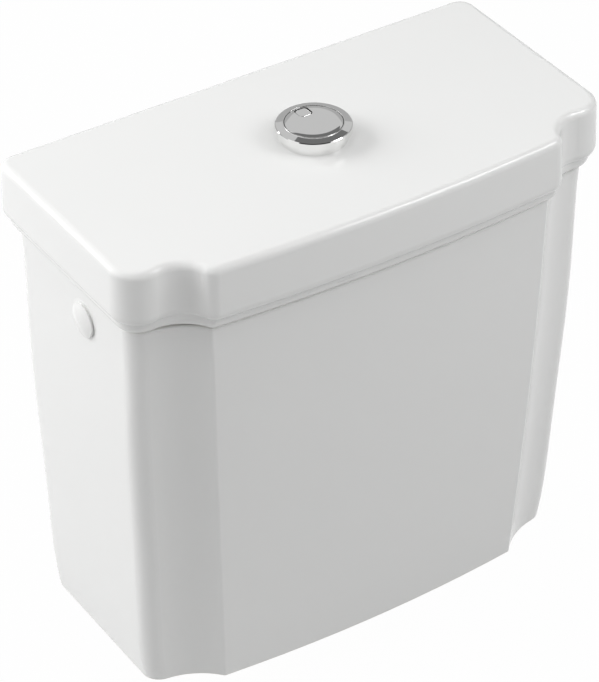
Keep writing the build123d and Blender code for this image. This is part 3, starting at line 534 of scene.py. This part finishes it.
def coil(name, node, live_turns):
    """A return spring in the place of its solid."""
    low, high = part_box(node)
    height = high.z - low.z
    turns = live_turns + 2 * dead_turns
    live_height = height - spring_wire - 2 * dead_turns * spring_wire

    def climb(turn):
        live = min(max(turn - dead_turns, 0.0), live_turns)
        flat_turns = min(turn, dead_turns) + max(turn - dead_turns - live_turns, 0.0)
        return spring_wire / 2 + flat_turns * spring_wire + live * live_height / live_turns

    wire_radius = spring_wire / 2
    profile = [(wire_radius * math.cos(a), wire_radius * math.sin(a)) for a in circle_angles(spring_sides)]
    centre = Vector(((low.x + high.x) / 2, (low.y + high.y) / 2, low.z))
    radius = (high.x - low.x) / 2 - wire_radius
    spring = wound(name, centre, upright, profile, radius, turns, climb, spring_steps)
    spring.data.shade_smooth()
    fix(spring, "steel", "lid")
    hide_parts(node)
    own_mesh(spring)
    print(name, "turns", turns, "height mm", round(height / MM, 2))


coil("full_button_coil", "full_button_spring", 6)
coil("half_button_coil", "half_button_spring", 5)

# %% [markdown]
# The threads are cut on plain cylinders. A thread is a ridge with a narrow crest that fades out
# over its first and last turn. Each ridge sits a little into its cylinder, so that no gap shows
# under it, and stops a little short of its cylinder's end, where a real thread has a chamfer.

# %% A thread
thread_sink = 0.08 * MM
thread_margin = 0.8 * MM
thread_steps = 48
thread_foot_share = 0.42
thread_crest_share = 0.10


def thread(name, centre, axis, radius, length, pitch, height, body, slot):
    """A ridge wound on a cylinder from centre along axis. All sizes are in metres."""
    foot_half, crest_half = pitch * thread_foot_share, pitch * thread_crest_share
    profile = [
        (-thread_sink, -foot_half),
        (height, -crest_half),
        (height, crest_half),
        (-thread_sink, foot_half),
    ]
    turns = (length - 2 * foot_half) / pitch

    def climb(turn):
        return foot_half + turn * pitch

    ridge = wound(name, centre, axis, profile, radius, turns, climb, thread_steps, thin_ends=1.0)
    fix(ridge, slot, body)
    print(name, "turns", round(turns, 1), "pitch mm", round(pitch / MM, 2))


print("a ridge's foot is", thread_foot_share * 2, "of its pitch wide")

# %% [markdown]
# The flush valve's tail shows under the tank, below its large nut. Its thread runs from the lower
# end of the tail to the nut, so both ends are read from the boxes of the two solids, and only the
# radius, the pitch and the ridge's height are written here. A helper does it, because the bolts and
# the button's sleeve stand upright too and are made in the same way.

# %% Tail's thread
tail_radius, tail_pitch, tail_ridge = 29.5 * MM, 3.0 * MM, 0.55 * MM


def thread_up_to_nut(name, place, carrier, nut, radius, pitch, height, body, slot):
    """A thread from the lower end of its carrier up to the nut, at a place given as (x, y)."""
    low, nut_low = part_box(carrier)[0].z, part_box(nut)[0].z
    foot = Vector((*place, low + thread_margin))
    length = nut_low - low - 2 * thread_margin
    thread(name, foot, upright, radius, length, pitch, height, body, slot)


thread_up_to_nut(
    "tail_thread", (0, 0), "flush_valve_body", "flush_valve_backnut",
    tail_radius, tail_pitch, tail_ridge, "cistern", "white_plastic",
)

# %% [markdown]
# The water inlet is a level thread at the right side. It starts at a groove beside its nut and runs
# to the end of the shank, which is where the hose is screwed on.

# %% Inlet's thread
inlet_radius, inlet_pitch, inlet_ridge = 8.0 * MM, 1.34 * MM, 0.32 * MM
shank_groove = 2.0 * MM
backnut_low, backnut_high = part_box("shank_backnut")
shank_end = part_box("fill_valve_body")[1].x
shank_start = (backnut_low + backnut_high) / 2
shank_start.x = backnut_high.x + shank_groove
shank_length = shank_end - thread_margin - shank_start.x
thread(
    "inlet_thread", shank_start, (1, 0, 0), inlet_radius,
    shank_length, inlet_pitch, inlet_ridge, "cistern", "white_plastic",
)

# %% [markdown]
# The two bolts that hold the tank to the pan show under it, and the sleeve of the button's housing
# shows under the lid. Each has its nut above its lower end, so the tail's helper makes them as well.

# %% Threads of the bolts and the sleeve
bolt_radius, bolt_pitch, bolt_ridge = 3.95 * MM, 1.25 * MM, 0.3 * MM
sleeve_radius, sleeve_pitch, sleeve_ridge = 20.5 * MM, 2.0 * MM, 0.35 * MM
bolt_head_radius = 10.0 * MM
bolt_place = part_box("pan_bolts")[1].x - bolt_head_radius
for side, x in (("left", -bolt_place), ("right", bolt_place)):
    thread_up_to_nut(
        "bolt_thread_" + side, (x, 0), "pan_bolts", "bolt_locknuts",
        bolt_radius, bolt_pitch, bolt_ridge, "cistern", "brass",
    )
thread_up_to_nut(
    "sleeve_thread", (0, 0), "button_housing", "housing_nut",
    sleeve_radius, sleeve_pitch, sleeve_ridge, "lid", "chrome",
)

# %% [markdown]
# The level screw of the float runs down at a slant, in line with the float. Its axis is worked out
# from the float arm's pivot, length and rest angle, and its thread covers the free stretch between
# the arm and the float.

# %% Level screw's thread
arm_pivot = Vector((117.722, 0, 292.0)) * MM
arm_length = 48.0 * MM
arm_angle = math.radians(12)
arm_half = 2.5 * MM
float_top = -22.0 * MM
screw_radius, screw_pitch, screw_ridge = 2.45 * MM, 1.0 * MM, 0.22 * MM
screw_axis = Vector((-math.sin(arm_angle), 0, math.cos(arm_angle)))
arm_end = arm_pivot - Vector((math.cos(arm_angle), 0, math.sin(arm_angle))) * arm_length
screw_start = arm_end + screw_axis * (float_top + thread_margin)
screw_length = -arm_half - float_top - 2 * thread_margin
thread(
    "level_screw_thread", screw_start, screw_axis, screw_radius,
    screw_length, screw_pitch, screw_ridge, "float_arm", "blue_plastic",
)

# %% [markdown]
# The large button is made of three solids: a turned disc with a skirt, a rounded square that is cut
# out of it for the small button, and a turned stem. Two helpers make such solids point by point,
# and a third joins or cuts them with an exact boolean, which keeps the mesh closed.

# %% Turned solids and square prisms
turned_steps = 128
corner_steps = 8


def turned(name, profile, centre):
    """A solid turned round an upright line, where its profile of (radius, height) starts and ends."""
    corners, faces, rings = [], [], []
    for radius, height in profile:
        count = turned_steps if radius else 1
        rings.append([len(corners) + k for k in range(count)])
        for k in range(count):
            angle = 2 * math.pi * k / count
            corners.append(centre + Vector((radius * math.cos(angle), radius * math.sin(angle), height)))
    for lower, upper in zip(rings, rings[1:]):
        for k in range(turned_steps):
            face = (
                lower[k % len(lower)], upper[k % len(upper)],
                upper[(k + 1) % len(upper)], lower[(k + 1) % len(lower)],
            )
            faces.append(tuple(dict.fromkeys(face)))
    return new_piece(name, corners, faces)


def rounded_prism(name, centre, half, corner, low, high):
    """An upright square prism with rounded corners."""
    outline = []
    for quarter, (sx, sy) in enumerate(((1, 1), (-1, 1), (-1, -1), (1, -1))):
        for k in range(corner_steps + 1):
            angle = math.pi / 2 * (quarter + k / corner_steps)
            x = centre.x + sx * (half - corner) + corner * math.cos(angle)
            y = centre.y + sy * (half - corner) + corner * math.sin(angle)
            outline.append((x, y))
    count = len(outline)
    corners = [(x, y, height) for height in (low, high) for x, y in outline]
    faces = [(k, (k + 1) % count, count + (k + 1) % count, count + k) for k in range(count)]
    faces += [tuple(reversed(range(count))), tuple(range(count, 2 * count))]
    return new_piece(name, corners, faces)


def combine(piece, tool, operation):
    """Adds a tool to a piece or cuts it out, and leaves one closed mesh."""
    change = piece.modifiers.new("combine", "BOOLEAN")
    change.operation, change.object, change.solver = operation, tool, "EXACT"
    evaluated = piece.evaluated_get(bpy.context.evaluated_depsgraph_get())
    result = bpy.data.meshes.new_from_object(evaluated)
    piece.modifiers.clear()
    piece.data = result
    bpy.data.objects.remove(tool)


print("steps round a turned solid:", turned_steps)

# %% [markdown]
# The large button isn't a flat coin: its edge rolls down softly towards the ring, and this soft
# edge is what mirrors the dark of the room. The CAD disc has a plainer edge, so this piece takes
# its place. The roll is an arc that starts level with the flat top, so that no crease shows where
# it begins.

# %% Large button's disc
crown_start = 16.2 * MM
crown_radius = 11.0 * MM
crown_points = 12
rim_radius = 20.5 * MM
rim_edge = 0.3 * MM
plate_thickness = 2.0 * MM
skirt_wall = 1.3 * MM
skirt_height = 6.2 * MM

button_low, button_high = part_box("full_flush_button")
button_top = button_high.z
plate_underside = button_top - plate_thickness
skirt_low = button_top - skirt_height
crown_end = math.asin((rim_radius - rim_edge - crown_start) / crown_radius)
disc_profile = [(0, button_top), (crown_start - rim_edge, button_top)]
for k in range(crown_points + 1):
    tilt = crown_end * k / crown_points
    drop = crown_radius * (1 - math.cos(tilt))
    disc_profile.append((crown_start + crown_radius * math.sin(tilt), button_top - drop))
edge_height = disc_profile[-1][1]
disc_profile += [
    (rim_radius - rim_edge / 3, edge_height - rim_edge / 3),
    (rim_radius, edge_height - rim_edge),
    (rim_radius, skirt_low),
    (rim_radius - skirt_wall, skirt_low),
    (rim_radius - skirt_wall, plate_underside),
    (0, plate_underside),
]
large_button = turned("large_button", disc_profile, Vector((0, 0, 0)))
print("its edge lies lower by", round((button_top - edge_height) / MM, 2), "mm")

# %% [markdown]
# The small button stands in a square opening near the back of the large one. The opening is a
# little wider than the small button, so that a fine dark line shows all round it. The stem below
# takes the push rod in its bore.

# %% Large button's opening and stem
opening_half = 5.3 * MM
opening_corner = 2.6 * MM
opening_place = Vector((0, 13.3, 0)) * MM
cut_overrun = 1.0 * MM
stem_radius = 4.0 * MM
stem_bore = 2.55 * MM
stem_bore_depth = 12.0 * MM
stem_place = Vector((0, -5.0, 0)) * MM
smooth_angle = 28


def smooth(piece, sharp_angle):
    """Shades a piece smoothly, except over edges sharper than the angle in degrees."""
    piece.data.shade_smooth()
    piece.data.set_sharp_from_angle(angle=math.radians(sharp_angle))


opening = rounded_prism(
    "opening", opening_place, opening_half, opening_corner,
    plate_underside - cut_overrun, button_top + cut_overrun,
)
combine(large_button, opening, "DIFFERENCE")
stem_profile = [
    (0, button_top - plate_thickness / 2),
    (stem_radius, button_top - plate_thickness / 2),
    (stem_radius, button_low.z),
    (stem_bore, button_low.z),
    (stem_bore, button_low.z + stem_bore_depth),
    (0, button_low.z + stem_bore_depth),
]
combine(large_button, turned("stem", stem_profile, stem_place), "UNION")
smooth(large_button, smooth_angle)
fix(large_button, "chrome", "full_button")
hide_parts("full_flush_button")
print("large button faces", len(large_button.data.polygons))

# %% [markdown]
# The ring round the button ends inwards in a fine rolled lip. It is a bead about half a millimetre
# thick, laid once round the bore, and it catches the light all the way round. Its corners are
# worked out here, so that it has as many steps round as the button beside it.

# %% Ring lip
lip_radius = 0.28 * MM
lip_sides = 12
bore_radius = 20.9 * MM
all_smooth = 90
cone_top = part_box("button_housing")[1].z
lip_corners, lip_faces = [], []
for turn in circle_angles(turned_steps):
    for angle in circle_angles(lip_sides):
        reach = bore_radius + lip_radius + lip_radius * math.cos(angle)
        lip_height = cone_top - lip_radius / 2 + lip_radius * math.sin(angle)
        lip_corners.append((reach * math.cos(turn), reach * math.sin(turn), lip_height))
for step in range(turned_steps):
    here, there = step * lip_sides, (step + 1) % turned_steps * lip_sides
    for k in range(lip_sides):
        after = (k + 1) % lip_sides
        lip_faces.append((here + k, there + k, there + after, here + after))
ring_lip = new_piece("ring_lip", lip_corners, lip_faces)
smooth(ring_lip, all_smooth)
fix(ring_lip, "chrome", "lid")
print("ring lip faces", len(ring_lip.data.polygons))

# %% [markdown]
# The studio is white. The floor and the world look white to the camera, to mirrors and to glass,
# but they light the object less than that, so that the lamps can shape it. The floor keeps a small
# share of its own shading, and with it the object's faint shadow.

# %% Floor
floor_half = 6.0
floor_white = (0.60, 0.60, 0.60)
floor_glow_share = 0.985
white = (1.0, 1.0, 1.0)
square = ((-1, -1), (1, -1), (1, 1), (-1, 1))


def panel(name, corners, faces, material):
    """A flat or folded panel of the studio, which isn't part of the object."""
    made = new_piece(name, corners, faces)
    made.data.materials.append(material)
    return made


floor_material = bpy.data.materials.new("studio_floor")
floor_graph = Graph(floor_material)
matt = floor_graph.node("BsdfDiffuse", {}, {"Color": floor_white})
floor_glow = floor_graph.node("Emission", {}, {"Color": white, "Strength": 1.0})
glow_share = floor_graph.looked_at() * floor_glow_share
floor_surface = floor_graph.node("MixShader", {}, {0: glow_share, 1: matt, 2: floor_glow})
floor_graph.node("OutputMaterial", {}, {"Surface": floor_surface})
floor_height = solid_box[0].z
floor_corners = [(x * floor_half, y * floor_half, floor_height) for x, y in square]
panel("studio_floor", floor_corners, [(0, 1, 2, 3)], floor_material)
print("floor at", round(floor_height / MM, 1), "mm")

# %% [markdown]
# The world is the air of the studio. It has two strengths for the same reason as the floor: white
# where it is looked at, and weaker where it lights the object.

# %% World
world_light = 0.36
world = bpy.data.worlds.new("studio_world")
scene.world = world
world_graph = Graph(world)
lighting = world_graph.node("Background", {}, {"Color": white, "Strength": world_light})
backdrop = world_graph.node("Background", {}, {"Color": white, "Strength": 1.0})
world_parts = {0: world_graph.looked_at(), 1: lighting, 2: backdrop}
world_surface = world_graph.node("MixShader", {}, world_parts)
world_graph.node("OutputWorld", {}, {"Surface": world_surface})
print("world lights with", world_light)

# %% [markdown]
# A soft box is an area light that faces the object. Its power is worked out from the brightness
# that it gives to a white surface turned straight at it, because that number means something: one
# is as bright as white can be. Mirrors don't see the lamps: what shines on the glaze comes from the
# cards of a later step.

# %% Lamps
middle_of_object = (solid_box[0] + solid_box[1]) / 2


def soft_box(name, azimuth, elevation, distance, width, height, brightness):
    """An area light seen from the object at two angles, which gives a white surface that brightness."""
    data = bpy.data.lights.new(name, "AREA")
    data.shape = "RECTANGLE"
    data.size, data.size_y = width, height
    data.energy = brightness * (math.pi * distance) ** 2
    lamp = bpy.data.objects.new(name, data)
    back = pointing(azimuth, elevation)
    lamp.matrix_world = Matrix.Translation(middle_of_object + back * distance) @ facing(back)
    lamp.visible_glossy = False
    scene.collection.objects.link(lamp)


soft_box("key_soft_box", -130, 30, 2.0, 1.9, 1.2, 0.78)
soft_box("top_soft_box", -20, 75, 2.0, 1.6, 1.6, 0.20)
soft_box("right_soft_box", 45, 40, 2.2, 1.2, 1.2, 0.30)

# %% [markdown]
# Chrome in an all-white room would look like plaster. So cards stand round the object, which only
# mirrors see: they cast no shadow and give no light. The first two are grey walls behind the
# object, a low one and a lighter one above it, folded round like a screen.

# %% Grey walls for the mirrors
wall_radius = 2.8
wall_fold = 1.93
wall_top = 5.2
wall_azimuths = [50 + 10 * step for step in range(20)]


def mirror_card(name, corners, faces, shade):
    """A panel that only reflections see. shade is how bright it looks, where one is white."""
    material = bpy.data.materials.new(name)
    graph = Graph(material)
    glow = graph.node("Emission", {}, {"Color": white, "Strength": shade})
    graph.node("OutputMaterial", {}, {"Surface": glow})
    card = panel(name, corners, faces, material)
    card.visible_camera = False
    card.visible_diffuse = False
    card.visible_shadow = False
    print(name, "shade", shade)


def strip(count):
    """The faces of a folded strip whose corners come in pairs."""
    return [(2 * k, 2 * k + 2, 2 * k + 3, 2 * k + 1) for k in range(count - 1)]


for name, foot, head, shade in (
    ("low_wall", floor_height, wall_fold, 0.44),
    ("high_wall", wall_fold, wall_top, 0.60),
):
    directions = [pointing(azimuth, 0) * wall_radius for azimuth in wall_azimuths]
    wall_corners = [(d.x, d.y, height) for d in directions for height in (foot, head)]
    mirror_card(name, wall_corners, strip(len(directions)), shade)

# %% [markdown]
# One dark panel hangs level over the button and shows in the front of its ring. A darker one hangs
# above the camera, and draws the thin dark line round the ring's front edge.

# %% Dark panels over the button
dark_height = 1.4
dark_left, dark_right = -0.30, 1.10
dark_front, dark_back = -0.50, 0.755
night_distance = 1.9
night_azimuths = [-85 + 10 * step for step in range(12)]
night_elevations = (46, 66)


def arc(azimuths, elevations, distance):
    """The corners of a strip that is bent round the object."""
    return [middle_of_object + pointing(a, e) * distance for a in azimuths for e in elevations]


dark_corners = [
    (dark_left, dark_front, dark_height),
    (dark_right, dark_front, dark_height),
    (dark_right, dark_back, dark_height),
    (dark_left, dark_back, dark_height),
]
mirror_card("dark_panel", dark_corners, [(0, 1, 2, 3)], 0.17)
night_corners = arc(night_azimuths, night_elevations, night_distance)
mirror_card("night_panel", night_corners, strip(len(night_azimuths)), 0.03)

# %% [markdown]
# Two bright cards are what the lid's front and left edges mirror, as crisp white lines. One hangs
# higher than the camera and the other lower, so that the button's upright wall throws neither of
# them onto the lid.

# %% Bright cards for the edges
glint_distance = 2.0
front_glint_azimuths = [35 + 12 * step for step in range(4)]
front_glint_elevations = (40, 59)
left_glint_azimuths = [-154 + 10 * step for step in range(4)]
left_glint_elevations = (12, 28)
for name, azimuths, elevations, shade in (
    ("front_glint", front_glint_azimuths, front_glint_elevations, 8.0),
    ("left_glint", left_glint_azimuths, left_glint_elevations, 5.0),
):
    mirror_card(name, arc(azimuths, elevations, glint_distance), strip(len(azimuths)), shade)

# %% [markdown]
# Colours are shown as they are written, with no film look.

# %% Finish
scene.view_settings.view_transform = "Standard"
